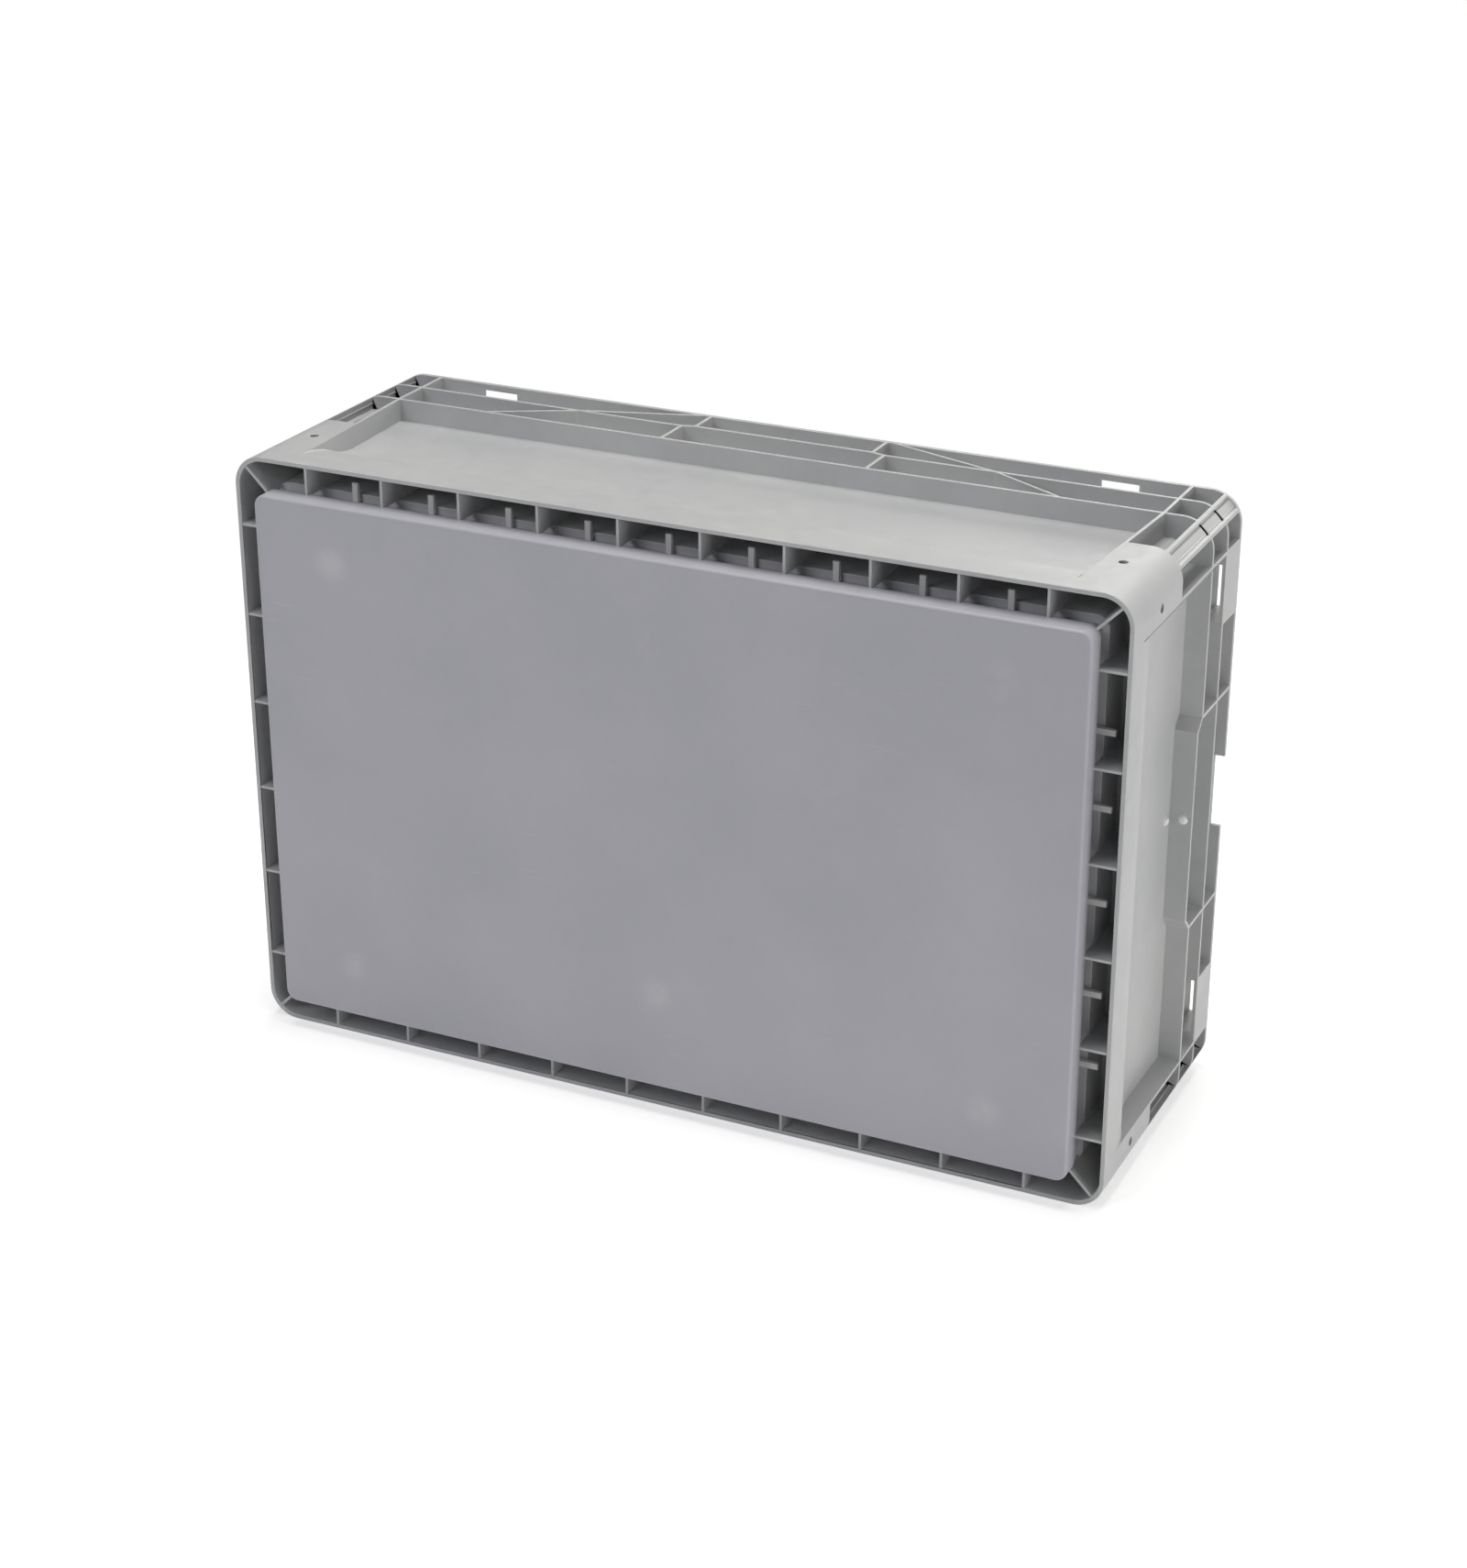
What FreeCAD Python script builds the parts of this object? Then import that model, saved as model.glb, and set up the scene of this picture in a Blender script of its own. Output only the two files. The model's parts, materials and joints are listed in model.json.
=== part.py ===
import FreeCAD, Part
import math
import os

# Stacking storage box: one plastic moulding with a second floor welded under it.
# The moulding is held as its walls, flanges, ribs, skirt and posts, which meet face to face.
# Sizes are in millimetres. Everything is drawn with the box standing on its base:
# x runs along its length, y along its width and z is the height above the base plate's face.
# The last step lays the box on one long side, with its open top facing +Y.

# Overall sizes
LENGTH = 594.0
WIDTH = 396.0
HEIGHT = 213.5
CORNER_RADIUS = 20.0

# Thicknesses
SKIN = 3.0
RIB = 2.2
THIN_RIB = 1.8

# Tub: the smooth inner box
RECESS = 15.0                # depth of the tub's outer face behind the outer envelope
TUB_RADIUS = 10.0            # corner radius of the opening
SHOULDER_TOP = 66.0          # height where the tub's inner face starts to draw in towards its foot
SHOULDER_HIGH = 6.0
STACK_CLEARANCE = 2.4        # play of the foot inside the opening of the box below

# Base tray and foot
FOOT_RADIUS = 8.0
TRAY_HIGH = 29.0             # height of the weld line
TRAY_LIP = 15.0              # height where the tray's side steps in
TRAY_STEP = 5.0              # depth of that step
NECK_RADIUS = 5.0            # corner radius of the side above it
TRAY_EDGE = 2.0              # rounding of the tray's lower edge
TRAY_RIB_BAYS = 2            # bays of the channel ribs between two ribs inside the tray
TRAY_LONG_RIB = 60.5         # places of the two long ribs, from the middle

# Skirt and the flare that joins it to the wall
SKIRT_EDGE = 11.5            # the foot stands this far out of the skirt
FLARE_LOW = 27.0
FLARE_HIGH = 95.0
CHANNEL_RIB_SET = 0.6        # channel ribs stand this far inside the skirt's edge
LONG_RIB_PITCH = 54.5
LONG_RIBS = 10
END_RIB_PITCH = 60.5
END_RIBS = 6

# Guide nibs, which stand on the tray's neck just under the weld line
NIB_WIDE = 4.4
NIB_REACH = 8.0              # past the foot's side
NIB_LOW = 25.5
NIB_TIP_HIGH = 2.0
NIB_HIGH = 3.5
LONG_NIBS = 9
END_NIB_PLACES = (-108.5, -60.5, 0.0, 60.5, 108.5)

# Heights below the rim, for the rim's flanges
RIM_THICK = 3.0
LOWER_FLANGE = 57.0
MIDDLE_FLANGE = 28.0
CENTRE_FLANGE = 25.5         # middle flange between the two upright ribs of a long side

# Corner posts, measured along a side from the corner
POST_WIDE = 42.0
POST_RIB_NEAR = 11.0
LONG_POST_RIB = 32.5         # far rib of the post on a long side
END_POST_RIB = 30.0          # and on an end
LONG_RECESS_END = (33.6, 40.5)   # slanted end of the recess: at the lower flange, at the flare's foot
END_RECESS_END = (31.1, 32.5)
BLOCK_TOP = 97.5             # top of the closed part of a corner post
PIN_HOLE_RADIUS = 2.8
LONG_PIN_HOLE = (26.0, 64.0)     # from the corner, height
END_PIN_HOLE = (23.0, 60.5)
BAND_SET = 1.5               # the rounded band between the near ribs stands this far back
BAND_SLOT_WIDE = 8.0
BAND_SLOT_HIGH = 3.0

# Long sides
UPRIGHT_LOW = 71.0
UPRIGHT_HIGH = 62.0
BRACE_FOOT = 199.0
BRACE_KNEE = 146.0
BRACE_TOP = 66.0
LONG_SLOT_MIDDLE = 218.5
LONG_SLOT_WIDE = 25.0
LONG_SLOT_NEAR = 4.5
LONG_SLOT_FAR = 11.5

# Short sides
GRIP_HALF = 71.5
GRIP_DROP = 8.0
GRIP_BEVEL = 8.0
NOTCH_HALF = 24.0
NOTCH_DEEP = 6.5
END_SLOT_MIDDLE = 141.6
END_SLOT_WIDE = 37.0
END_SLOT_NEAR = 2.5
END_SLOT_FAR = 12.5
PATCH_INNER = 121.3          # inner edge of the smooth patch over the slots
PATCH_SKIN = 2.5

# Sizes that follow
OPENING = RECESS + SKIN                          # inset of the opening's walls
FOOT = OPENING + STACK_CLEARANCE                 # inset of the foot
NECK = FOOT + TRAY_STEP                          # inset of the tray's neck
LEDGE = HEIGHT - LOWER_FLANGE - RIB / 2          # underside of the lower flange
SHOULDER_FOOT = SHOULDER_TOP - SHOULDER_HIGH
INNER_FLOOR = TRAY_HIGH + SKIN
LONG_HALF = LENGTH / 2 - POST_WIDE
END_HALF = WIDTH / 2 - POST_WIDE
END_SLOT_INNER = END_SLOT_MIDDLE - END_SLOT_WIDE / 2
END_SLOT_OUTER = END_SLOT_MIDDLE + END_SLOT_WIDE / 2
OVER = 1.0                                       # run of a cutting tool past a face

V = FreeCAD.Vector


def box(x0, x1, y0, y1, z0, z1):
    return Part.makeBox(x1 - x0, y1 - y0, z1 - z0, V(x0, y0, z0))


def fuse(shapes):
    return shapes[0].multiFuse(shapes[1:]).removeSplitter() if len(shapes) > 1 else shapes[0]


def mirrored(shape, axis):
    return shape.mirror(V(0, 0, 0), axis)


def both(shape, axis):
    return [shape, mirrored(shape, axis)]


def plate_outline(inset, radius, height):
    # rounded rectangle at an inset from the envelope
    x, y = LENGTH / 2 - inset, WIDTH / 2 - inset
    bend = radius * (1 - math.sqrt(0.5))
    edges = []
    corners = ((x, y), (-x, y), (-x, -y), (x, -y))
    ends = []
    for index, (cx, cy) in enumerate(corners):
        sx, sy = math.copysign(1, cx), math.copysign(1, cy)
        on_side = V(cx, cy - sy * radius, height)
        on_end = V(cx - sx * radius, cy, height)
        middle = V(cx - sx * bend, cy - sy * bend, height)
        first, last = (on_side, on_end) if index % 2 == 0 else (on_end, on_side)
        ends.append((first, middle, last))
    for index, (first, middle, last) in enumerate(ends):
        edges.append(Part.Arc(first, middle, last).toShape())
        edges.append(Part.makeLine(last, ends[(index + 1) % 4][0]))
    return Part.Wire(edges)


def plate(inset, radius, low, high):
    return Part.Face(plate_outline(inset, radius, low)).extrude(V(0, 0, high - low))


# A side is drawn with s along it, depth behind the envelope and height:
# s is x, depth is -y and height is z, until the side is put in its place.

def section(points, s0, s1):
    # outline in (depth, height) swept along a side; a point given as a triple is the
    # middle of an arc
    edges = []
    index = 0
    count = len(points)
    place = [V(s0, -p[0], p[1]) for p in points]
    while index < count:
        here, after = place[index], place[(index + 1) % count]
        if len(points[(index + 1) % count]) == 3:
            far = place[(index + 2) % count]
            edges.append(Part.Arc(here, after, far).toShape())
            index += 2
        else:
            edges.append(Part.makeLine(here, after))
            index += 1
    return Part.Face(Part.Wire(edges)).extrude(V(s1 - s0, 0, 0))


def front(points, depth0, depth1):
    # outline in (s, height) seen from outside, given a run of depth
    wire = Part.makePolygon([V(s, -depth0, z) for s, z in points + points[:1]])
    return Part.Face(wire).extrude(V(0, -(depth1 - depth0), 0))


def upright(s, low, high, thick=RIB):
    return box(s - thick / 2, s + thick / 2, -RECESS, 0, low, high)


def strip(path, thick):
    # straight stretches of rib along a path of (s, height) points, seen from outside,
    # each with a round end that closes the bend
    parts = []
    for (s0, z0), (s1, z1) in zip(path, path[1:]):
        run = math.hypot(s1 - s0, z1 - z0)
        ns, nz = -(z1 - z0) / run * thick / 2, (s1 - s0) / run * thick / 2
        outline = [(s0 + ns, z0 + nz), (s1 + ns, z1 + nz), (s1 - ns, z1 - nz), (s0 - ns, z0 - nz)]
        stretch = front(outline, 0, RECESS)
        if (s1, z1) != path[-1]:
            stretch = stretch.fuse(Part.makeCylinder(thick / 2, RECESS, V(s1, -RECESS, z1), V(0, 1, 0)))
        parts.append(stretch.removeSplitter())
    return parts


def flange(s0, s1, below_rim):
    low, high = level(below_rim, RIB)
    return box(s0, s1, -RECESS, 0, low, high)


def level(below_rim, thick):
    # low and high edge of something centred this far below the rim
    return HEIGHT - below_rim - thick / 2, HEIGHT - below_rim + thick / 2


def apart(groups):
    # each group's shapes as solids that meet those listed before them face to face
    made = []
    result = []
    for shapes in groups:
        solids = []
        for shape in shapes:
            for other in made:
                if shape.BoundBox.intersect(other.BoundBox):
                    shape = shape.cut(other)
            solids += shape.Solids
            made += shape.Solids
        result.append(solids)
    return result


FLARE_RADIUS = ((FLARE_HIGH - FLARE_LOW) ** 2 + RECESS ** 2) / (4 * RECESS)
FLARE_MIDDLE = (FLARE_HIGH + FLARE_LOW) / 2
# height where the flare's inner face runs into the wall
CHANNEL_TIP = FLARE_HIGH - math.sqrt(FLARE_RADIUS ** 2 - (FLARE_RADIUS - SKIN) ** 2)


def flare_depth(height):
    # outer face of the flare: two tangent arcs between the skirt and the wall
    if height <= FLARE_LOW:
        return 0.0
    if height <= FLARE_MIDDLE:
        return FLARE_RADIUS - math.sqrt(FLARE_RADIUS ** 2 - (height - FLARE_LOW) ** 2)
    if height <= FLARE_HIGH:
        return RECESS - FLARE_RADIUS + math.sqrt(FLARE_RADIUS ** 2 - (FLARE_HIGH - height) ** 2)
    return RECESS


def flare_line(low, high, offset):
    # points of the flare from low up to high, at an offset in depth, arcs marked
    stops = [low] + [z for z in (FLARE_LOW, FLARE_MIDDLE, FLARE_HIGH) if low < z < high] + [high]
    line = [(flare_depth(low) + offset, low)]
    for z0, z1 in zip(stops, stops[1:]):
        if z0 >= FLARE_LOW and z1 <= FLARE_HIGH:
            line.append((flare_depth((z0 + z1) / 2) + offset, (z0 + z1) / 2, "arc"))
        line.append((flare_depth(z1) + offset, z1))
    return line


def side_wall(half):
    # tub wall with its shoulder and foot
    outer = [(FOOT, INNER_FLOOR), (FOOT, SHOULDER_FOOT - SKIN / 2), (RECESS, SHOULDER_TOP - SKIN / 2),
             (RECESS, HEIGHT)]
    inner = [(OPENING, HEIGHT), (OPENING, SHOULDER_TOP), (FOOT + SKIN, SHOULDER_FOOT),
             (FOOT + SKIN, INNER_FLOOR)]
    return section(outer + inner, -half, half)


def side_skirt(half):
    outer = flare_line(SKIRT_EDGE, FLARE_HIGH, 0.0)
    inner = flare_line(SKIRT_EDGE, CHANNEL_TIP, SKIN)
    return section(outer + inner[::-1], -half, half)


def channel_rib(s):
    edge = SKIRT_EDGE + CHANNEL_RIB_SET
    outline = flare_line(edge, CHANNEL_TIP, SKIN)
    back = [(RECESS, SHOULDER_TOP - SKIN / 2), (FOOT, SHOULDER_FOOT - SKIN / 2), (FOOT, edge)]
    return section(outline + back, s - THIN_RIB / 2, s + THIN_RIB / 2)


def spread(count, pitch):
    return [(index - (count - 1) / 2) * pitch for index in range(count)]


def slot_cuts(rim, middle, wide, near, far):
    for s in (-middle, middle):
        rim = rim.cut(box(s - wide / 2, s + wide / 2, -far, -near, HEIGHT - RIM_THICK - OVER, HEIGHT + OVER))
    return rim


def mirrored_twice(shapes):
    return [twin for shape in shapes for twin in both(shape, V(1, 0, 0))]


def long_rim():
    # rim, flanges and ribs of a long side
    low = HEIGHT - LOWER_FLANGE
    middle = HEIGHT - MIDDLE_FLANGE
    centre = HEIGHT - CENTRE_FLANGE
    top = HEIGHT - RIM_THICK
    rim = slot_cuts(box(-LONG_HALF, LONG_HALF, -RECESS, 0, top, HEIGHT),
                    LONG_SLOT_MIDDLE, LONG_SLOT_WIDE, LONG_SLOT_NEAR, LONG_SLOT_FAR)
    flanges = [flange(-LONG_HALF, LONG_HALF, LOWER_FLANGE), flange(-UPRIGHT_HIGH, UPRIGHT_HIGH, CENTRE_FLANGE)]
    flanges += mirrored_twice([flange(UPRIGHT_LOW, LONG_HALF, MIDDLE_FLANGE)])
    uprights = strip([(UPRIGHT_LOW, low), (UPRIGHT_LOW, middle), (UPRIGHT_HIGH, centre), (UPRIGHT_HIGH, top)],
                     RIB)
    braces = strip([(BRACE_FOOT, low), (BRACE_KNEE, middle), (BRACE_TOP, top)], THIN_RIB)
    return apart([[rim], flanges, mirrored_twice(uprights + braces)])


def end_rim():
    # rim, flanges and ribs of an end, with its finger pocket
    low = HEIGHT - LOWER_FLANGE
    drop = low - GRIP_DROP
    middle = HEIGHT - MIDDLE_FLANGE
    top = HEIGHT - RIM_THICK
    bend = GRIP_HALF - GRIP_BEVEL
    rim = slot_cuts(box(-END_HALF, END_HALF, -RECESS, 0, top, HEIGHT),
                    END_SLOT_MIDDLE, END_SLOT_WIDE, END_SLOT_NEAR, END_SLOT_FAR)
    rim = rim.cut(box(-NOTCH_HALF, NOTCH_HALF, -NOTCH_DEEP, OVER, top - OVER, HEIGHT + OVER))
    lip = strip([(bend, drop), (GRIP_HALF, low), (END_HALF, low)], RIB)
    patch = box(PATCH_INNER, END_HALF, -PATCH_SKIN, 0, middle - RIB / 2, top)
    tunnel = box(PATCH_INNER, END_HALF, -END_SLOT_FAR - THIN_RIB, -END_SLOT_FAR, middle - RIB / 2, top)
    flanges = strip([(-bend, drop), (bend, drop)], RIB) + [flange(-GRIP_HALF, GRIP_HALF, MIDDLE_FLANGE)]
    flanges += mirrored_twice(lip + [flange(GRIP_HALF, END_SLOT_INNER, MIDDLE_FLANGE)])
    ribs = [patch, tunnel, upright(END_SLOT_INNER - THIN_RIB / 2, middle, top, THIN_RIB),
            upright(GRIP_HALF, low, middle), upright(GRIP_HALF, middle, top)]
    return apart([[rim], flanges, mirrored_twice(ribs)])


def tub():
    # inner box, used for the corners, where the walls turn: its shell and its hollow
    outer = fuse([
        plate(FOOT, FOOT_RADIUS, INNER_FLOOR, SHOULDER_FOOT - SKIN / 2),
        Part.makeLoft([plate_outline(FOOT, FOOT_RADIUS, SHOULDER_FOOT - SKIN / 2),
                       plate_outline(RECESS, TUB_RADIUS + SKIN, SHOULDER_TOP - SKIN / 2)], True, True),
        plate(RECESS, TUB_RADIUS + SKIN, SHOULDER_TOP - SKIN / 2, HEIGHT),
    ])
    inner = fuse([
        plate(FOOT + SKIN, FOOT_RADIUS - SKIN, INNER_FLOOR - OVER, SHOULDER_FOOT),
        Part.makeLoft([plate_outline(FOOT + SKIN, FOOT_RADIUS - SKIN, SHOULDER_FOOT),
                       plate_outline(OPENING, TUB_RADIUS, SHOULDER_TOP)], True, True),
        plate(OPENING, TUB_RADIUS, SHOULDER_TOP, HEIGHT + OVER),
    ])
    return outer.cut(inner), inner


def corner_square(wide, low, high):
    return box(LENGTH / 2 - wide, LENGTH / 2, WIDTH / 2 - wide, WIDTH / 2, low, high)


# A shape drawn on a side whose end is the corner, put on one of the two faces of the post

def on_long_face(shape):
    placed = shape.copy()
    placed.translate(V(LENGTH / 2, WIDTH / 2, 0))
    return placed


def on_end_face(shape):
    return on_long_face(mirrored(shape, V(1, -1, 0)))


def recess_end(height, ends):
    # distance of a recess's slanted end from the corner
    rise = (height - FLARE_LOW) / (LEDGE - FLARE_LOW)
    return ends[1] + (ends[0] - ends[1]) * rise


def recess_parts(ends):
    # the room past a recess's slanted end, its end wall, and the flare up to that wall
    high, low = ends
    edge_high, edge_low = (-high, LEDGE), (-low, FLARE_LOW)
    thick_high, thick_low = (RIB - high, LEDGE), (RIB - low, FLARE_LOW)
    room = front([edge_high, edge_low, (-POST_WIDE, FLARE_LOW), (-POST_WIDE, LEDGE)], -OVER, OPENING)
    flared = section(flare_line(FLARE_LOW, LEDGE, SKIN) + [(-OVER, LEDGE), (-OVER, FLARE_LOW)], -POST_WIDE, 0)
    end_wall = front([edge_high, edge_low, thick_low, thick_high], 0, RECESS).common(flared)
    inner_line = flare_line(FLARE_LOW, CHANNEL_TIP, SKIN)
    flare = section(flare_line(FLARE_LOW, FLARE_HIGH, 0.0) + inner_line[::-1], -POST_WIDE, 0).common(room)
    return room, end_wall, flare


def post_flange(outer, below_rim):
    # flange of a post, deep enough to reach the bend of the tub's wall
    low, high = level(below_rim, RIB)
    return box(-outer, -POST_RIB_NEAR, -RECESS - TUB_RADIUS - SKIN, 0, low, high)


def corner():
    # bend of the walls, and the post round it, in the corner x > 0, y > 0
    shell, hollow = tub()
    whole = corner_square(POST_WIDE, SKIRT_EDGE, HEIGHT)
    envelope = plate(0, CORNER_RADIUS, SKIRT_EDGE, HEIGHT)
    lining = plate(SKIN, CORNER_RADIUS - SKIN, SKIRT_EDGE - OVER, HEIGHT + OVER)
    top = HEIGHT - RIM_THICK
    middle = HEIGHT - MIDDLE_FLANGE
    slot_end = WIDTH / 2 - END_SLOT_OUTER
    room_long, wall_long, flare_long = recess_parts(LONG_RECESS_END)
    room_end, wall_end, flare_end = recess_parts(END_RECESS_END)

    block = envelope.cut(lining).common(corner_square(POST_WIDE, SKIRT_EDGE, BLOCK_TOP))
    block = block.cut(on_long_face(room_long)).cut(on_end_face(room_end))
    band = plate(BAND_SET, CORNER_RADIUS - BAND_SET, BLOCK_TOP, top)
    band = band.cut(plate(BAND_SET + SKIN, CORNER_RADIUS - BAND_SET - SKIN, BLOCK_TOP - OVER, top + OVER))
    band = band.common(corner_square(POST_RIB_NEAR + RIB / 2, BLOCK_TOP, top))
    for tool in pin_holes():
        block = block.cut(tool)
    for tool in band_slots():
        band = band.cut(tool)
    cap = envelope.common(box(LENGTH / 2 - recess_end(BLOCK_TOP, LONG_RECESS_END) + RIB / 2, LENGTH / 2,
                              WIDTH / 2 - recess_end(BLOCK_TOP, END_RECESS_END) + RIB / 2, WIDTH / 2,
                              BLOCK_TOP - SKIN, BLOCK_TOP))
    card_slot = box(-POST_WIDE, -slot_end, -END_SLOT_FAR, -END_SLOT_NEAR, top - OVER, HEIGHT + OVER)
    rim = envelope.common(corner_square(POST_WIDE, top, HEIGHT)).cut(on_end_face(card_slot))

    near_rib = upright(-POST_RIB_NEAR, BLOCK_TOP, top)
    on_long = [wall_long, flare_long, post_flange(POST_WIDE, LOWER_FLANGE), post_flange(POST_WIDE, MIDDLE_FLANGE),
               near_rib, upright(-LONG_POST_RIB, LEDGE, top)]
    # on an end, the card slot and the smooth patch over it run on into the post
    patch = box(-POST_WIDE, -END_POST_RIB, -PATCH_SKIN, 0, middle - RIB / 2, top)
    tunnel = box(-POST_WIDE, -slot_end, -END_SLOT_FAR - THIN_RIB, -END_SLOT_FAR, middle - RIB / 2, top)
    slot_side = upright(THIN_RIB / 2 - slot_end, middle - RIB / 2, top, THIN_RIB)
    on_ends = [wall_end, flare_end, post_flange(POST_WIDE, LOWER_FLANGE), post_flange(slot_end, MIDDLE_FLANGE),
               near_rib, upright(-END_POST_RIB, LEDGE, top), patch, tunnel, slot_side]
    brace = Part.makeBox(2 * POST_WIDE, THIN_RIB, FLARE_MIDDLE - SKIRT_EDGE - CHANNEL_RIB_SET,
                         V(0, -THIN_RIB / 2, SKIRT_EDGE + CHANNEL_RIB_SET))
    brace.rotate(V(0, 0, 0), V(0, 0, 1), 45)
    brace.translate(V(LENGTH / 2 - POST_WIDE, WIDTH / 2 - POST_WIDE, 0))

    foot = plate(FOOT, FOOT_RADIUS, 0, INNER_FLOOR)
    shapes = [block, rim, cap, band]
    shapes += [on_long_face(shape) for shape in on_long] + [on_end_face(shape) for shape in on_ends]
    shapes.append(brace)
    bend = shell.common(whole)
    clear = [shape.common(envelope).common(whole).cut(hollow).cut(foot) for shape in shapes]
    return apart([[bend], clear])


def pin_holes():
    along_long = V(LENGTH / 2 - LONG_PIN_HOLE[0], WIDTH / 2 - SKIN - OVER, LONG_PIN_HOLE[1])
    along_end = V(LENGTH / 2 - SKIN - OVER, WIDTH / 2 - END_PIN_HOLE[0], END_PIN_HOLE[1])
    deep = SKIN + 2 * OVER
    return [Part.makeCylinder(PIN_HOLE_RADIUS, deep, along_long, V(0, 1, 0)),
            Part.makeCylinder(PIN_HOLE_RADIUS, deep, along_end, V(1, 0, 0))]


def band_slots():
    # one slot at the level of each flange
    tools = []
    reach = CORNER_RADIUS * (1 - math.sqrt(0.5))
    for below_rim in (LOWER_FLANGE, MIDDLE_FLANGE):
        low, high = level(below_rim, BAND_SLOT_HIGH)
        tool = box(-BAND_SET - SKIN - OVER, OVER, -BAND_SLOT_WIDE / 2, BAND_SLOT_WIDE / 2, low, high)
        tool.rotate(V(0, 0, 0), V(0, 0, 1), 45)
        tool.translate(V(LENGTH / 2 - reach, WIDTH / 2 - reach, 0))
        tools.append(tool)
    return tools


def base_tray():
    # second floor under the first, with stiffening ribs closed in between them
    lip = plate(FOOT, FOOT_RADIUS, 0, TRAY_LIP)
    lower_edges = [edge for edge in lip.Edges if edge.BoundBox.ZMax < SKIN / 2]
    lip = lip.makeFillet(TRAY_EDGE, lower_edges)
    outer = fuse([lip, plate(NECK, NECK_RADIUS, TRAY_LIP, TRAY_HIGH)])
    hollow = fuse([plate(FOOT + SKIN, FOOT_RADIUS - SKIN, SKIN, TRAY_LIP - SKIN),
                   plate(NECK + SKIN, NECK_RADIUS - SKIN, TRAY_LIP - SKIN, TRAY_HIGH + OVER)])
    ribs = []
    x_end, y_end = LENGTH / 2 - NECK - SKIN / 2, WIDTH / 2 - NECK - SKIN / 2
    for x in spread(LONG_RIBS // TRAY_RIB_BAYS, LONG_RIB_PITCH * TRAY_RIB_BAYS):
        ribs.append(box(x - RIB / 2, x + RIB / 2, -y_end, y_end, SKIN / 2, TRAY_HIGH))
    for y in (-TRAY_LONG_RIB, TRAY_LONG_RIB):
        ribs.append(box(-x_end, x_end, y - RIB / 2, y + RIB / 2, SKIN / 2, TRAY_HIGH))
    return fuse([outer.cut(hollow)] + ribs)


def nib(s):
    tip = FOOT - NIB_REACH
    outline = [(NECK, NIB_LOW), (tip, NIB_LOW), (tip, NIB_LOW + NIB_TIP_HIGH), (NECK, NIB_LOW + NIB_HIGH)]
    return section(outline, s - NIB_WIDE / 2, s + NIB_WIDE / 2)


def on_long_side(shape):
    placed = shape.copy()
    placed.translate(V(0, WIDTH / 2, 0))
    return placed


def on_end(shape):
    placed = shape.copy()
    placed.rotate(V(0, 0, 0), V(0, 0, 1), -90)
    placed.translate(V(LENGTH / 2, 0, 0))
    return placed


def on_all_sides(long_shapes, end_shapes):
    placed = []
    for shape in long_shapes:
        placed += both(on_long_side(shape), V(0, 1, 0))
    for shape in end_shapes:
        placed += both(on_end(shape), V(1, 0, 0))
    return placed


def write(name, solids):
    # the box is laid on a long side: y turns down and the opening turns to +Y
    shape = Part.makeCompound(solids) if len(solids) > 1 else solids[0].copy()
    shape.rotate(V(0, 0, 0), V(1, 0, 0), -90)
    shape.translate(V(0, -HEIGHT / 2, WIDTH / 2))
    shape.exportStep("parts/" + name + ".step")
    print(name, len(shape.Solids), round(shape.Volume / 1000, 1), "cm3", "valid" if shape.isValid() else "INVALID")


def write_side(name, groups, place, flip=None):
    for part, shapes in groups.items():
        placed = [place(shape) for shape in shapes]
        if flip:
            placed = [mirrored(shape, flip) for shape in placed]
        write(name + "_" + part, placed)


def main():
    os.makedirs("parts", exist_ok=True)

    rim, flanges, ribs = long_rim()
    groups = {"wall": [side_wall(LONG_HALF)], "skirt": [side_skirt(LONG_HALF)], "rim": rim,
              "flanges": flanges, "ribs": ribs}
    write_side("lower_side", groups, on_long_side)
    write_side("upper_side", groups, on_long_side, V(0, 1, 0))

    rim, flanges, ribs = end_rim()
    groups = {"wall": [side_wall(END_HALF)], "skirt": [side_skirt(END_HALF)], "rim": rim,
              "flanges": flanges, "ribs": ribs}
    write_side("right_end", groups, on_end)
    write_side("left_end", groups, on_end, V(1, 0, 0))

    bend, post = corner()
    for height_name, flip_y in (("lower", False), ("upper", True)):
        for side_name, flip_x in (("right", False), ("left", True)):
            for part, solids in (("wall_bend", bend), ("corner_post", post)):
                if flip_y:
                    solids = [mirrored(shape, V(0, 1, 0)) for shape in solids]
                if flip_x:
                    solids = [mirrored(shape, V(1, 0, 0)) for shape in solids]
                write(height_name + "_" + side_name + "_" + part, solids)

    write("inner_floor", [plate(FOOT, FOOT_RADIUS, TRAY_HIGH, INNER_FLOOR)])
    write("base_tray", [base_tray()])
    write("channel_ribs", on_all_sides([channel_rib(s) for s in spread(LONG_RIBS, LONG_RIB_PITCH)],
                                       [channel_rib(s) for s in spread(END_RIBS, END_RIB_PITCH)]))
    write("guide_nibs", on_all_sides([nib(s) for s in spread(LONG_NIBS, LONG_RIB_PITCH)],
                                     [nib(s) for s in END_NIB_PLACES]))


main()
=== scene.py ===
import json
import math

import bmesh
import bpy
from mathutils import Matrix, Vector

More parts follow.
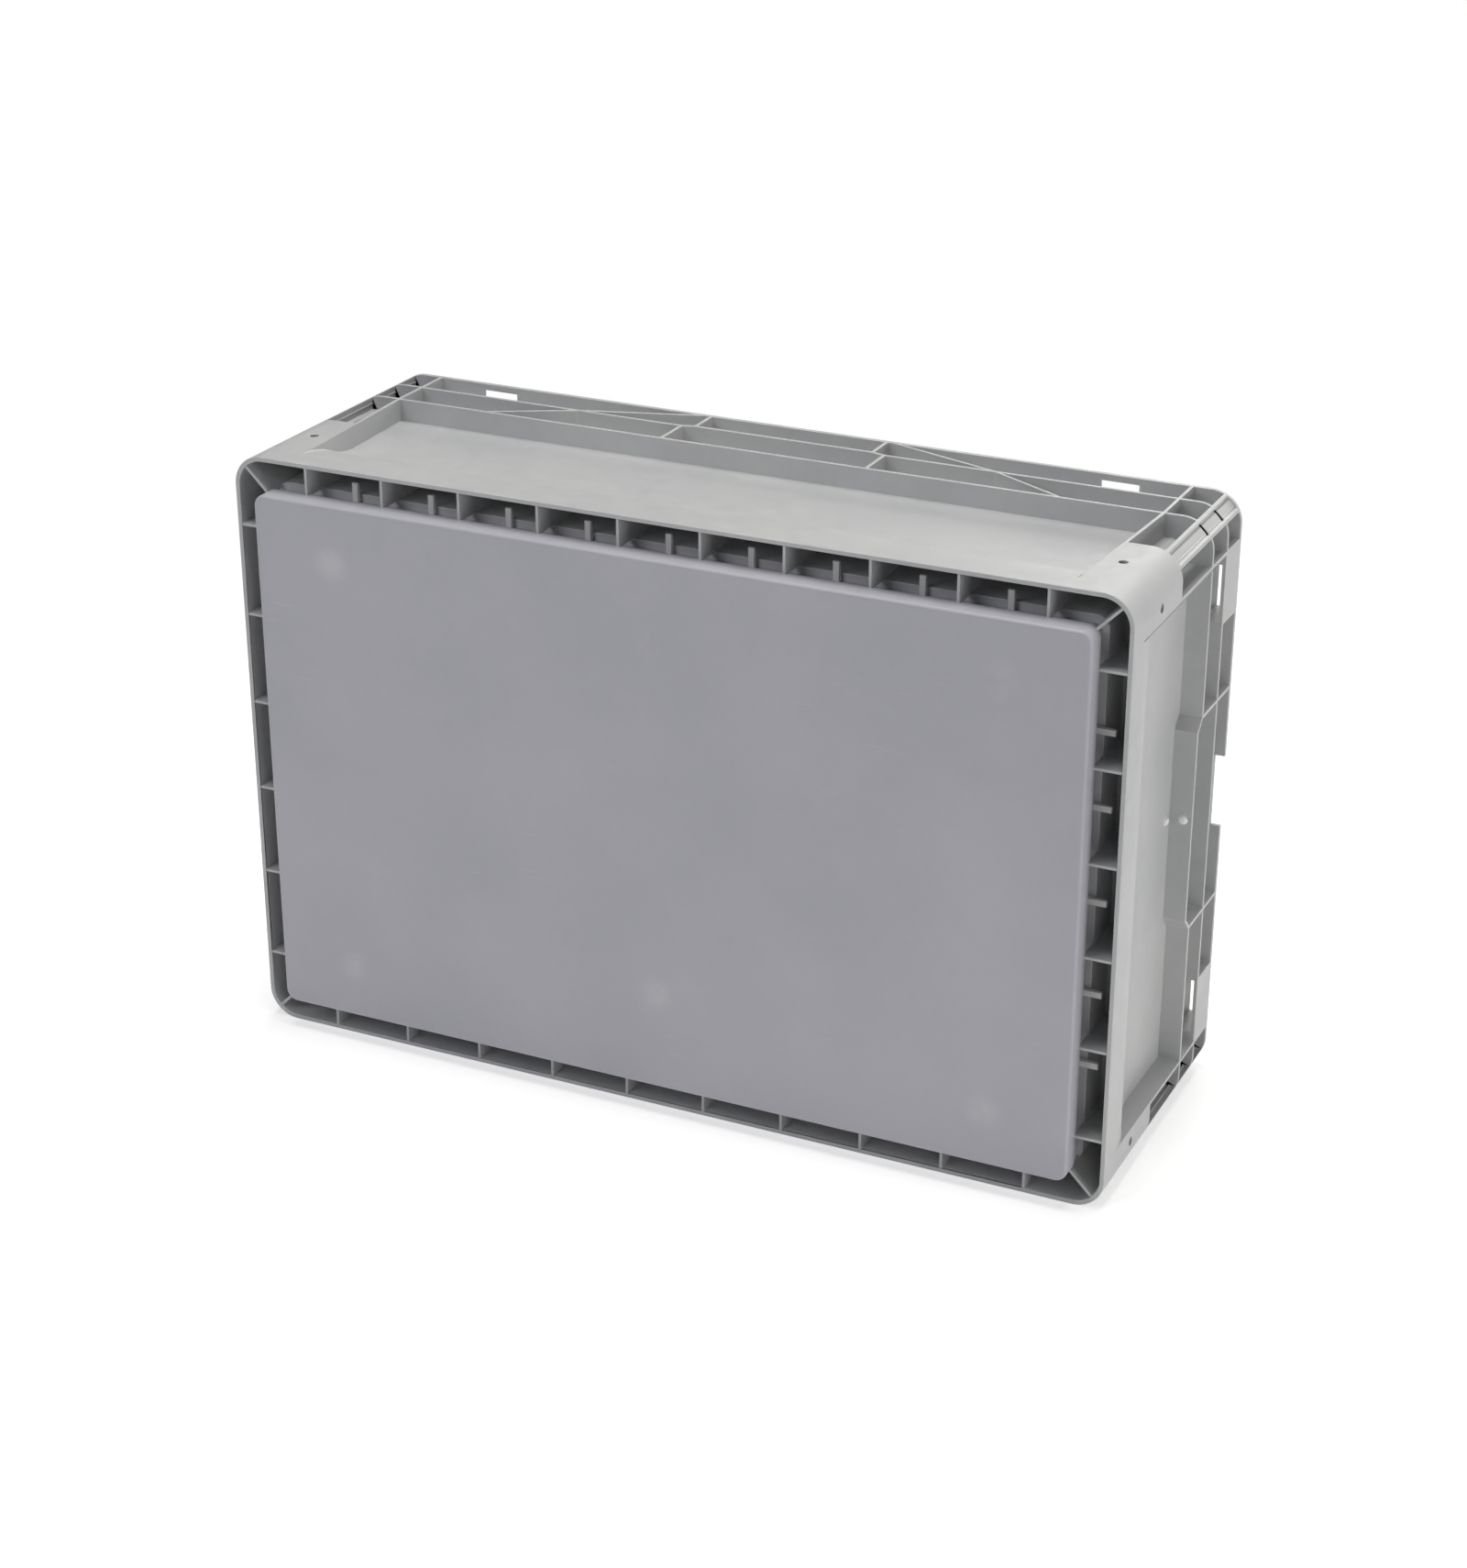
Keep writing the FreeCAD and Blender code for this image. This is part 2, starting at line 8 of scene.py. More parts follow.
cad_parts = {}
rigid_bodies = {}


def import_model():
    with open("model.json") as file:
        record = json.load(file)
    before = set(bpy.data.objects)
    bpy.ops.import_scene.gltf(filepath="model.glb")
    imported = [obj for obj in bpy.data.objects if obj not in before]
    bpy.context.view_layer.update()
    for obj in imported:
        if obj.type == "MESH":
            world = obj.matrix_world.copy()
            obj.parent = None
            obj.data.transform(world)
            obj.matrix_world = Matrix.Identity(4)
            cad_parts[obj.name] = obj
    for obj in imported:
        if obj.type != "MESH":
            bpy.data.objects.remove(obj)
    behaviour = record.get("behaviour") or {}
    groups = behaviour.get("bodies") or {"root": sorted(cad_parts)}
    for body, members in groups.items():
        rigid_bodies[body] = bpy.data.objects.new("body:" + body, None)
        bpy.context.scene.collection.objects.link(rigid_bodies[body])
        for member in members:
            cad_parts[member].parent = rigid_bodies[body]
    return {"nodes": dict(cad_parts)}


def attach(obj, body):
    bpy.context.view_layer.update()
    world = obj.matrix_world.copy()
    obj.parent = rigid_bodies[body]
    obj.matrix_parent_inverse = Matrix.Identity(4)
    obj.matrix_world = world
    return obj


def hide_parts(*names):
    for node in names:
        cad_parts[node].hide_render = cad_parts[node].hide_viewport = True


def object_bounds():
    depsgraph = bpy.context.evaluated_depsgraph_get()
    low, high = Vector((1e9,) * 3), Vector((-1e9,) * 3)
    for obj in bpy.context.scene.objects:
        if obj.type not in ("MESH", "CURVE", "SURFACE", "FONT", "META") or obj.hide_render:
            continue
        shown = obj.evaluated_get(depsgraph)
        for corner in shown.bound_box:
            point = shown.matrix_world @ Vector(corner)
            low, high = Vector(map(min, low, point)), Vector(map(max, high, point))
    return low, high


# Stacking storage box of moulded polypropylene, lying on one long side, base to the camera.
# The box is drawn in millimetres, standing on its base: x along it, y across it and h up
# from the base plate's face. layDown() turns it over and puts it in the frame, in metres.

for item in list(bpy.data.objects):
    bpy.data.objects.remove(item)
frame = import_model()
cadLow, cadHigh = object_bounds()
scene = bpy.context.scene
print("frame loaded:", len(frame["nodes"]), "nodes")

# Every size below is in millimetres unless its comment says otherwise.
metre = 1000.0
boxSizes = {
    "length": (cadHigh[0] - cadLow[0]) * metre,
    "width": (cadHigh[2] - cadLow[2]) * metre,
    "height": (cadHigh[1] - cadLow[1]) * metre,
    "cornerRadius": 20.0,
    "skin": 3.0,
    "rib": 2.2,
    "thinRib": 1.8,
    "edgeRound": 0.45,        # radius that the mould leaves on every free edge
    "arcSteps": 16,           # facets in a quarter turn
}
halfLength, halfWidth = boxSizes["length"] / 2, boxSizes["width"] / 2
height, skin = boxSizes["height"], boxSizes["skin"]
rib, thinRib = boxSizes["rib"], boxSizes["thinRib"]
bite = 1.0                    # how deep one stretch of plastic runs into the next, to weld them
proud = 1.0                   # how far a cut runs past the face it opens
diagonal = math.sqrt(0.5)     # share of a length at 45 degrees that points along x, or y


# A solid is a pair: its points and its faces. It is drawn for a side, as (along, depth, h),
# for a corner, as (depth from the end, depth from the long side, h), or for the whole box.

def prism(outline, axis, low, high):
    # an outline of two coordinates swept along the third; its ends may slant with them
    points = []
    for end in (low, high):
        for u, v in outline:
            point = [u, v]
            point.insert(axis, end(u, v) if callable(end) else end)
            points.append(tuple(point))
    count = len(outline)
    faces = [list(range(count)), list(range(count, 2 * count))]
    for here in range(count):
        after = (here + 1) % count
        faces.append([here, after, count + after, count + here])
    return points, faces


def block(u0, u1, v0, v1, low, high):
    return prism([(u0, v0), (u1, v0), (u1, v1), (u0, v1)], 2, low, high)


def arc(centre, radius, first, last, steps=None):
    # points of an arc, its two angles in degrees
    x, y = centre
    steps = steps or max(2, round(abs(last - first) / 90 * boxSizes["arcSteps"]))
    turns = [math.radians(first + (last - first) * step / steps) for step in range(steps + 1)]
    return [(x + radius * math.cos(turn), y + radius * math.sin(turn)) for turn in turns]


def roundedLoop(inset, radius):
    # rounded rectangle at an inset from the box's envelope
    x, y = halfLength - inset - radius, halfWidth - inset - radius
    loop = []
    for quarter, centre in enumerate(((x, y), (-x, y), (-x, -y), (x, -y))):
        loop += arc(centre, radius, 90 * quarter, 90 * quarter + 90)
    return loop


def plate(inset, radius, low, high):
    return prism(roundedLoop(inset, radius), 2, low, high)


def ring(profile):
    # closed profile of (inset, corner radius, h) points taken once round the box
    points, faces = [], []
    for inset, radius, h in profile:
        points += [(x, y, h) for x, y in roundedLoop(inset, radius)]
    count = len(points) // len(profile)
    for row in range(len(profile)):
        below, above = row * count, (row + 1) % len(profile) * count
        for here in range(count):
            after = (here + 1) % count
            faces.append([below + here, below + after, above + after, above + here])
    return points, faces


def bowl(profile):
    # like ring, but closed by its first and last loops, which are flat
    points, faces = ring(profile)
    count = len(points) // len(profile)
    faces = faces[:-count]
    faces += [list(range(count)), list(range(len(points) - count, len(points)))]
    return points, faces


def ribAlong(path, thick):
    # a rib that follows a path of (along, h) points, mitred where it turns
    normals = []
    for (u0, v0), (u1, v1) in zip(path, path[1:]):
        run = math.hypot(u1 - u0, v1 - v0)
        normals.append(((v0 - v1) / run, (u1 - u0) / run))
    sides = ([], [])
    for index, (u, v) in enumerate(path):
        before, after = normals[max(0, index - 1)], normals[min(index, len(normals) - 1)]
        reach = thick / 2 / (1 + before[0] * after[0] + before[1] * after[1])
        du, dv = (before[0] + after[0]) * reach, (before[1] + after[1]) * reach
        sides[0].append((u + du, v + dv))
        sides[1].append((u - du, v - dv))
    return prism(sides[0] + sides[1][::-1], 1, 0.0, intoWall)


def flange(s0, s1, h):
    return block(s0, s1, 0.0, intoWall, h - rib / 2, h + rib / 2)


def upright(s, low, high, thick=rib):
    return block(s - thick / 2, s + thick / 2, 0.0, intoWall, low, high)


def mirrorAlong(solid):
    points, faces = solid
    return [(-u, v, h) for u, v, h in points], faces


def withMirror(solids):
    return solids + [mirrorAlong(solid) for solid in solids]


def swapAxes(solid):
    points, faces = solid
    return [(v, u, h) for u, v, h in points], faces


def spread(count, pitch):
    return [(index - (count - 1) / 2) * pitch for index in range(count)]


# The places of a side or a corner on the box
sidePlaces = {
    "lowerSide": lambda s, d, h: (s, halfWidth - d, h),
    "upperSide": lambda s, d, h: (s, d - halfWidth, h),
    "rightEnd": lambda s, d, h: (halfLength - d, s, h),
    "leftEnd": lambda s, d, h: (d - halfLength, s, h),
}
longSides, shortSides = ("lowerSide", "upperSide"), ("rightEnd", "leftEnd")
cornerSigns = {
    "lowerRight": (1, 1),
    "lowerLeft": (-1, 1),
    "upperRight": (1, -1),
    "upperLeft": (-1, -1),
}


def onSides(solids, names):
    placed = []
    for name in names:
        for points, faces in solids:
            placed.append(([sidePlaces[name](*point) for point in points], faces))
    return placed


def onCorners(solids):
    placed = []
    for signX, signY in cornerSigns.values():
        for points, faces in solids:
            moved = [(signX * (halfLength - a), signY * (halfWidth - b), h) for a, b, h in points]
            placed.append((moved, faces))
    return placed


def layDown(point):
    x, y, h = point
    return Vector((x, h - height / 2, halfWidth - y)) / metre


# Turning solids into objects, and finishing their faces and edges
finish = {
    "segments": 2,            # of a rounded edge
    "sharp": 28.0,            # edges that turn more than this, in degrees, are rounded
    "flatWithin": 0.1,        # degrees
    "mergeWithin": 2e-6,      # metres
    "onPlane": 1e-5,          # metres
}
# the edge and knob slots carry painted highlights: paler rounded edges and pale knobs
materialSlots = ("face", "edge", "knob")


def looseObject(name, solid):
    points, faces = solid
    mesh = bpy.data.meshes.new(name)
    mesh.from_pydata([layDown(point) for point in points], [], faces)
    work = bmesh.new()
    work.from_mesh(mesh)
    bmesh.ops.recalc_face_normals(work, faces=work.faces)
    work.to_mesh(mesh)
    work.free()
    return bpy.data.objects.new(name, mesh)


def bake(piece):
    # gives a piece the mesh that its modifiers make
    graph = bpy.context.evaluated_depsgraph_get()
    piece.data = bpy.data.meshes.new_from_object(piece.evaluated_get(graph))
    piece.modifiers.clear()


def workOn(target, solids, operation):
    # welds solids to an object, cuts them from it, or keeps what lies inside them
    bench = bpy.data.collections.new("bench")
    scene.collection.children.link(bench)
    if not target.users_collection:
        scene.collection.objects.link(target)
    tools = [looseObject("tool", solid) for solid in solids]
    for tool in tools:
        bench.objects.link(tool)
    modifier = target.modifiers.new("weld", "BOOLEAN")
    modifier.operation = operation
    modifier.operand_type = "COLLECTION"
    modifier.collection = bench
    modifier.solver = "MANIFOLD"
    bake(target)
    for tool in tools:
        bpy.data.objects.remove(tool)
    bpy.data.collections.remove(bench)
    return target


def tidyFaces(piece):
    # joins the flat faces that the cuts have split, so that edges round off evenly
    work = bmesh.new()
    work.from_mesh(piece.data)
    bmesh.ops.remove_doubles(work, verts=work.verts, dist=finish["mergeWithin"])
    bmesh.ops.dissolve_limit(work, angle_limit=math.radians(finish["flatWithin"]),
                             verts=work.verts, edges=work.edges)
    work.to_mesh(piece.data)
    work.free()


def roundEdges(piece, cutPlanes=()):
    # rounds every sharp edge except those on the planes where two pieces meet
    sharp = math.radians(finish["sharp"])
    work = bmesh.new()
    work.from_mesh(piece.data)
    weights = work.edges.layers.float.new("bevel_weight_edge")
    for edge in work.edges:
        ends = [vertex.co for vertex in edge.verts]
        met = any(all(abs(end[axis] - at) < finish["onPlane"] for end in ends)
                  for axis, at in cutPlanes)
        turned = len(edge.link_faces) == 2 and edge.calc_face_angle() > sharp
        edge[weights] = 1.0 if turned and not met else 0.0
        edge.smooth = not (turned and met)
    for face in work.faces:
        face.smooth = True
    work.to_mesh(piece.data)
    work.free()
    # the slots stay empty until the materials are made
    piece.data.materials.clear()
    for title in materialSlots:
        piece.data.materials.append(None)
    bevel = piece.modifiers.new("edges", "BEVEL")
    bevel.limit_method = "WEIGHT"
    bevel.width = boxSizes["edgeRound"] / metre
    bevel.segments = finish["segments"]
    bevel.use_clamp_overlap = False
    bevel.miter_outer = "MITER_ARC"
    bevel.harden_normals = True
    # the rounded edges take the edge slot, painted paler as a highlight
    bevel.material = materialSlots.index("edge")
    bake(piece)


# Walls of the tub
wall = {
    "recess": 15.0,           # the tub's outer face behind the envelope
    "tubRadius": 10.0,
    "shoulderTop": 66.0,
    "shoulderHigh": 6.0,
    "stackClearance": 2.4,
    "footRadius": 8.0,
    "weldHeight": 29.0,       # where the second floor is welded on
}
opening = wall["recess"] + skin
foot = opening + wall["stackClearance"]
innerFloor = wall["weldHeight"] + skin
shoulderFoot = wall["shoulderTop"] - wall["shoulderHigh"]
intoWall = wall["recess"] + bite


def tubSolids():
    inner, outer = wall["footRadius"] - skin, wall["tubRadius"] + skin
    shell = ring([
        (foot, wall["footRadius"], wall["weldHeight"]),
        (foot, wall["footRadius"], shoulderFoot - skin / 2),
        (wall["recess"], outer, wall["shoulderTop"] - skin / 2),
        (wall["recess"], outer, height),
        (opening, wall["tubRadius"], height),
        (opening, wall["tubRadius"], wall["shoulderTop"]),
        (foot + skin, inner, shoulderFoot),
        (foot + skin, inner, wall["weldHeight"]),
    ])
    floor = plate(foot + bite, wall["footRadius"] - bite, wall["weldHeight"], innerFloor)
    return [shell, floor]


# Skirt round the foot, the flare that joins it to the wall, and the ribs of the channel
skirt = {
    "edge": 11.5,             # the foot stands this far out of the skirt
    "flareLow": 27.0,
    "flareHigh": 95.0,
    "flareSteps": 14,
    "ribSet": 0.6,            # channel ribs stand this far inside the skirt's edge
    "longPitch": 54.5,
    "longCount": 10,
    "endPitch": 60.5,
    "endCount": 6,
}
flareSpan = skirt["flareHigh"] - skirt["flareLow"]
flareRadius = (flareSpan ** 2 + wall["recess"] ** 2) / (4 * wall["recess"])
flareMiddle = (skirt["flareHigh"] + skirt["flareLow"]) / 2
channelTip = skirt["flareHigh"] - math.sqrt(flareRadius ** 2 - (flareRadius - skin) ** 2)
channelEdge = skirt["edge"] + skirt["ribSet"]


def flareDepth(h):
    # two tangent arcs between the skirt and the wall
    if h <= skirt["flareLow"]:
        return 0.0
    if h <= flareMiddle:
        return flareRadius - math.sqrt(flareRadius ** 2 - (h - skirt["flareLow"]) ** 2)
    if h <= skirt["flareHigh"]:
        rise = skirt["flareHigh"] - h
        return wall["recess"] - flareRadius + math.sqrt(flareRadius ** 2 - rise ** 2)
    return wall["recess"]


def flareLine(low, high, offset):
    steps = skirt["flareSteps"]
    stops = [skirt["flareLow"] + flareSpan * step / steps for step in range(steps + 1)]
    heights = [low] + [h for h in stops if low < h < high] + [high]
    return [(flareDepth(h) + offset, h) for h in heights]


# Corner posts, measured along a side from the corner
post = {
    "wide": 42.0,
    "ribNear": 11.0,
    "longRib": 32.5,          # far rib on a long side
    "endRib": 30.0,           # and on an end
    # where a recess's slanted end stands at the lower flange, and at the flare's foot
    "longRecessEnd": (33.6, 40.5),
    "endRecessEnd": (31.1, 32.5),
    "blockTop": 97.5,         # top of the closed part
    "pinHoleRadius": 2.8,
    "longPinHole": (26.0, 64.0),     # from the corner, height
    "endPinHole": (23.0, 60.5),
    "bandSet": 1.5,           # the rounded band between the near ribs stands this far back
    "bandSlotWide": 8.0,
    "bandSlotHigh": 3.0,
}
longHalf, endHalf = halfLength - post["wide"], halfWidth - post["wide"]

# Rim and flanges, measured down from the rim
rim = {"thick": 3.0, "lowerFlange": 57.0, "middleFlange": 28.0, "centreFlange": 25.5}
rimFoot = height - rim["thick"]
lowerFlange = height - rim["lowerFlange"]
middleFlange = height - rim["middleFlange"]
ledge = lowerFlange - rib / 2


def recessEnd(h, ends):
    # distance of a recess's slanted end from the corner
    rise = (h - skirt["flareLow"]) / (ledge - skirt["flareLow"])
    return ends[1] + (ends[0] - ends[1]) * rise


def sideSkirt(sideHalf, ends):
    # flare between the recess's two slanted ends, and the end walls that close it
    low = skirt["flareLow"] - bite
    outer = flareLine(low, skirt["flareHigh"], 0.0)
    inner = flareLine(low, channelTip, skin)
    outline = outer + [(intoWall, skirt["flareHigh"]), (intoWall, channelTip)] + inner[::-1]
    flare = prism(outline, 0, lambda d, h: recessEnd(h, ends) - sideHalf - bite,
                  lambda d, h: sideHalf - recessEnd(h, ends) + bite)
    endLow, endHigh = skirt["flareLow"] - bite / 2, ledge + bite
    endOutline = flareLine(endLow, endHigh, skin / 2) + [(0.0, endHigh), (0.0, endLow)]
    endWall = prism(endOutline, 0, lambda d, h: sideHalf - recessEnd(h, ends),
                    lambda d, h: sideHalf - recessEnd(h, ends) + rib)
    return [flare] + withMirror([endWall])


def recessCut(sideHalf, ends):
    # opens the ring of the skirt where the side is recessed
    low, high = skirt["flareLow"], post["blockTop"] + proud
    outline = [(sign * (sideHalf - recessEnd(h, ends)), h)
               for sign, h in ((-1, low), (1, low), (1, high), (-1, high))]
    return prism(outline, 1, -proud, skin + proud)


def channelRib(s):
    outline = flareLine(channelEdge, channelTip, skin - bite)
    outline += [(intoWall, channelTip), (intoWall, wall["shoulderTop"] - skin / 2),
                (foot + bite, shoulderFoot - skin / 2), (foot + bite, channelEdge)]
    return prism(outline, 0, s - thinRib / 2, s + thinRib / 2)


def skirtRing():
    low, high, radius = skirt["edge"], post["blockTop"], boxSizes["cornerRadius"]
    return ring([(0.0, radius, low), (0.0, radius, high),
                 (skin, radius - skin, high), (skin, radius - skin, low)])


def cornerBand():
    # the band that rounds the corner, between its near ribs
    radius = boxSizes["cornerRadius"]
    outside = radius - post["bandSet"]
    turn = 90 / boxSizes["arcSteps"]
    first = turn * math.floor(math.degrees(math.acos(1 - post["ribNear"] / radius)) / turn)
    outer = arc((radius, radius), outside, 180 + first, 270 - first)
    inner = arc((radius, radius), outside - skin, 270 - first, 180 + first)
    return prism(outer + inner, 2, post["blockTop"] - bite, rimFoot + bite)


def channelBrace():
    # brace across the corner of the channel, at 45 degrees
    start = boxSizes["cornerRadius"] * (1 - diagonal) + bite
    reach = foot + wall["footRadius"] * (1 - diagonal) + bite
    points, faces = block(start, reach, -thinRib / 2, thinRib / 2, channelEdge, flareMiddle)
    return [(u - v * diagonal, u + v * diagonal, h) for u, v, h in points], faces


def cornerSolids():
    # outlines in plan, as (depth from the end, depth from the long side)
    centre = wall["recess"] + wall["tubRadius"] + skin
    middleRadius = wall["tubRadius"] + skin / 2
    tubArc = arc((centre, centre), middleRadius, 270, 225)
    behind = centre - middleRadius
    longReach = recessEnd(post["blockTop"], post["longRecessEnd"]) - rib / 2
    endReach = recessEnd(post["blockTop"], post["endRecessEnd"]) - rib / 2
    cap = [(0.0, 0.0), (longReach, 0.0), (longReach, behind)] + tubArc
    cap += [(b, a) for a, b in tubArc[::-1][1:]] + [(behind, endReach), (0.0, endReach)]
    near, past = post["ribNear"], post["wide"] + bite
    slotEnd = halfWidth - endSide["slotMiddle"] - endSide["slotWide"] / 2

    def shelf(outer, h):
        outline = [(near, 0.0), (outer, 0.0), (outer, behind)] + tubArc + [(near, near)]
        return prism(outline, 2, h - rib / 2, h + rib / 2)

    nearRib = upright(near, post["blockTop"] - bite, rimFoot + bite)
    onLong = [shelf(past, lowerFlange), shelf(past, middleFlange), nearRib,
              upright(post["longRib"], ledge, rimFoot + bite)]
    onEnd = [shelf(past, lowerFlange), shelf(slotEnd, middleFlange), nearRib,
             upright(post["endRib"], ledge, rimFoot + bite)]
    top = prism(cap, 2, post["blockTop"] - skin, post["blockTop"])
    return [top, cornerBand(), channelBrace()] + onLong + [swapAxes(solid) for solid in onEnd]


def cornerCuts():
    # the two pin holes, and a slot through the band at the level of each flange
    holes = []
    for place in (post["longPinHole"], post["endPinHole"]):
        outline = arc(place, post["pinHoleRadius"], 0, 360)[:-1]
        holes.append(prism(outline, 1, -proud, skin + proud))
    cuts = [holes[0], swapAxes(holes[1])]
    middle = boxSizes["cornerRadius"] * (1 - diagonal)
    half, through = post["bandSlotWide"] / 2, post["bandSet"] + skin + proud
    corners = ((-half, -proud), (half, -proud), (half, through), (-half, through))
    outline = [(middle + (into - across) * diagonal, middle + (into + across) * diagonal)
               for across, into in corners]
    for level in (lowerFlange, middleFlange):
        low = level - post["bandSlotHigh"] / 2
        cuts.append(prism(outline, 2, low, low + post["bandSlotHigh"]))
    return cuts


# Long sides
longSide = {
    "uprightLow": 71.0,       # the upright's place under the middle flange
    "uprightHigh": 62.0,      # and over it
    "braceFoot": 199.0,
    "braceKnee": 146.0,
    "braceTop": 66.0,
    "slotMiddle": 218.5,
    "slotWide": 25.0,
    "slotNear": 4.5,
    "slotFar": 11.5,
}


def longSideRim():
    centre, top = height - rim["centreFlange"], rimFoot + bite
    low, high = longSide["uprightLow"], longSide["uprightHigh"]
    solids = [flange(-longHalf - bite, longHalf + bite, lowerFlange), flange(-high, high, centre)]
    solids += withMirror([
        flange(low, longHalf + bite, middleFlange),
        ribAlong([(low, lowerFlange), (low, middleFlange), (high, centre), (high, top)], rib),
        ribAlong([(longSide["braceFoot"], lowerFlange), (longSide["braceKnee"], middleFlange),
                  (longSide["braceTop"], top)], thinRib),
    ])
    return solids


def cardSlots(side):
    # two slots through the rim, the same distance from the side's middle
    middle, half = side["slotMiddle"], side["slotWide"] / 2
    return withMirror([block(middle - half, middle + half, side["slotNear"], side["slotFar"],
                             rimFoot - proud, height + proud)])


# Short sides
endSide = {
    "gripHalf": 71.5,         # finger pocket under the bent flange
    "gripDrop": 8.0,
    "gripBevel": 8.0,
    "notchHalf": 24.0,
    "notchDeep": 6.5,
    "slotMiddle": 141.6,
    "slotWide": 37.0,
    "slotNear": 2.5,
    "slotFar": 12.5,
    "patchInner": 121.3,      # smooth patch that hides the card slot
    "patchSkin": 2.5,
    "knobAlong": -5.5,        # two low knobs near the middle: on the sunk wall and under the lip
    "knobOnWall": 140.7,      # height above the base
    "knobUnderLip": 5.8,      # depth
    "knobShape": ((-1.0, 2.8), (1.0, 2.7), (2.0, 1.6)),   # rise and radius, from foot to top
    "knobSteps": 16,
    "knobFace": 30.0,         # mm2; every face of a knob is smaller
}


def knob(place, axis):
    # low round knob that stands on a face and points back along an axis
    points, faces = [], []
    count = endSide["knobSteps"]
    for rise, radius in endSide["knobShape"]:
        for u, v in arc((0.0, 0.0), radius, 0, 360, count)[:-1]:
            offset = [u, v]
            offset.insert(axis, -rise)
            points.append(tuple(here + step for here, step in zip(place, offset)))
    for below in range(0, len(points) - count, count):
        for here in range(count):
            after = (here + 1) % count
            faces.append([below + here, below + after, below + count + after,
                          below + count + here])
    faces += [list(range(count)), list(range(len(points) - count, len(points)))]
    return points, faces


def knobPlaces():
    # one on the sunk wall, one on the underside of the pocket's lip
    along, lip = endSide["knobAlong"], lowerFlange - endSide["gripDrop"] - rib / 2
    return [(along, wall["recess"], endSide["knobOnWall"]), (along, endSide["knobUnderLip"], lip)]


def endRim():
    grip, drop = endSide["gripHalf"], lowerFlange - endSide["gripDrop"]
    bend = grip - endSide["gripBevel"]
    slot0 = endSide["slotMiddle"] - endSide["slotWide"] / 2
    slot1 = endSide["slotMiddle"] + endSide["slotWide"] / 2
    half = [(bend, drop), (grip, lowerFlange), (endHalf + bite, lowerFlange)]
    lip = [(-s, h) for s, h in half[::-1]] + half
    solids = [ribAlong(lip, rib), flange(-grip, grip, middleFlange)]
    inner, low, high = endSide["patchInner"], middleFlange - rib / 2, rimFoot + bite
    far = endSide["slotFar"]
    solids += withMirror([
        flange(grip, slot0, middleFlange),
        block(inner, halfWidth - post["endRib"], 0.0, endSide["patchSkin"], low, high),
        block(inner, slot1, far, far + thinRib, low, high),
        upright(slot0 - thinRib / 2, middleFlange, high, thinRib),
        upright(slot1 + thinRib / 2, low, high, thinRib),
        upright(grip, lowerFlange - bite, high),
    ])
    return solids + [knob(place, axis) for place, axis in zip(knobPlaces(), (1, 2))]


def body():
    corner, inner = boxSizes["cornerRadius"], wall["tubRadius"] + skin - bite
    longEnd, shortEnd = post["longRecessEnd"], post["endRecessEnd"]
    rimRing = ring([(0.0, corner, rimFoot), (0.0, corner, height),
                    (intoWall, inner, height), (intoWall, inner, rimFoot)])
    notch = block(-endSide["notchHalf"], endSide["notchHalf"], -proud, endSide["notchDeep"],
                  rimFoot - proud, height + proud)

    shell = looseObject("containerBody", skirtRing())
    recesses = onSides([recessCut(halfLength, longEnd)], longSides)
    recesses += onSides([recessCut(halfWidth, shortEnd)], shortSides)
    workOn(shell, recesses, "DIFFERENCE")

    longRibs = [channelRib(s) for s in spread(skirt["longCount"], skirt["longPitch"])]
    endRibs = [channelRib(s) for s in spread(skirt["endCount"], skirt["endPitch"])]
    solids = tubSolids() + [rimRing]
    solids += onSides(sideSkirt(halfLength, longEnd) + longSideRim(), longSides)
    solids += onSides(sideSkirt(halfWidth, shortEnd) + endRim(), shortSides)
    solids += onSides(longRibs, longSides) + onSides(endRibs, shortSides)
    solids += onCorners(cornerSolids())
    workOn(shell, solids, "UNION")
    workOn(shell, [plate(0.0, corner, skirt["edge"], height)], "INTERSECT")

    cuts = onSides(cardSlots(longSide), longSides)
    cuts += onSides(cardSlots(endSide) + [notch], shortSides)
    workOn(shell, cuts + onCorners(cornerCuts()), "DIFFERENCE")
    return shell


shell = body()
print("moulding welded:", len(shell.data.polygons), "faces")


# The moulding as pieces: floor, four corner posts, and each side in three tiers. They meet
# face to face on flat planes, so their outside runs on without a seam.
tiers = {
    "Foot": (-proud, 60.0),
    "Wall": (60.0, 132.0),
    "Rim": (132.0, height + proud),
}


def cutOut(name, low, high):
    # the stretch of the moulding inside a block, given by two corners of the standing box
    piece = bpy.data.objects.new(name, shell.data.copy())
    workOn(piece, [block(low[0], high[0], low[1], high[1], low[2], high[2])], "INTERSECT")
    tidyFaces(piece)
    first, last = layDown(low), layDown(high)
    roundEdges(piece, [(axis, end[axis]) for axis in range(3) for end in (first, last)])
    piece.name = name
    return piece


def bodyPieces():
    made = {}
    far, bottom, top = halfLength + proud, -proud, height + proud
    made["innerFloor"] = cutOut("innerFloor", (-longHalf, -endHalf, bottom),
                                (longHalf, endHalf, top))
    for name, (signX, signY) in cornerSigns.items():
        title = name + "Corner"
        x0, x1 = sorted((signX * longHalf, signX * far))
        y0, y1 = sorted((signY * endHalf, signY * far))
        made[title] = cutOut(title, (x0, y0, bottom), (x1, y1, top))
    plans = {
        "lowerSide": (-longHalf, longHalf, endHalf, far),
        "upperSide": (-longHalf, longHalf, -far, -endHalf),
        "rightEnd": (longHalf, far, -endHalf, endHalf),
        "leftEnd": (-far, -longHalf, -endHalf, endHalf),
    }
    for name, (x0, x1, y0, y1) in plans.items():
        for tier, (low, high) in tiers.items():
            title = name + tier
            made[title] = cutOut(title, (x0, y0, low), (x1, y1, high))
    return made


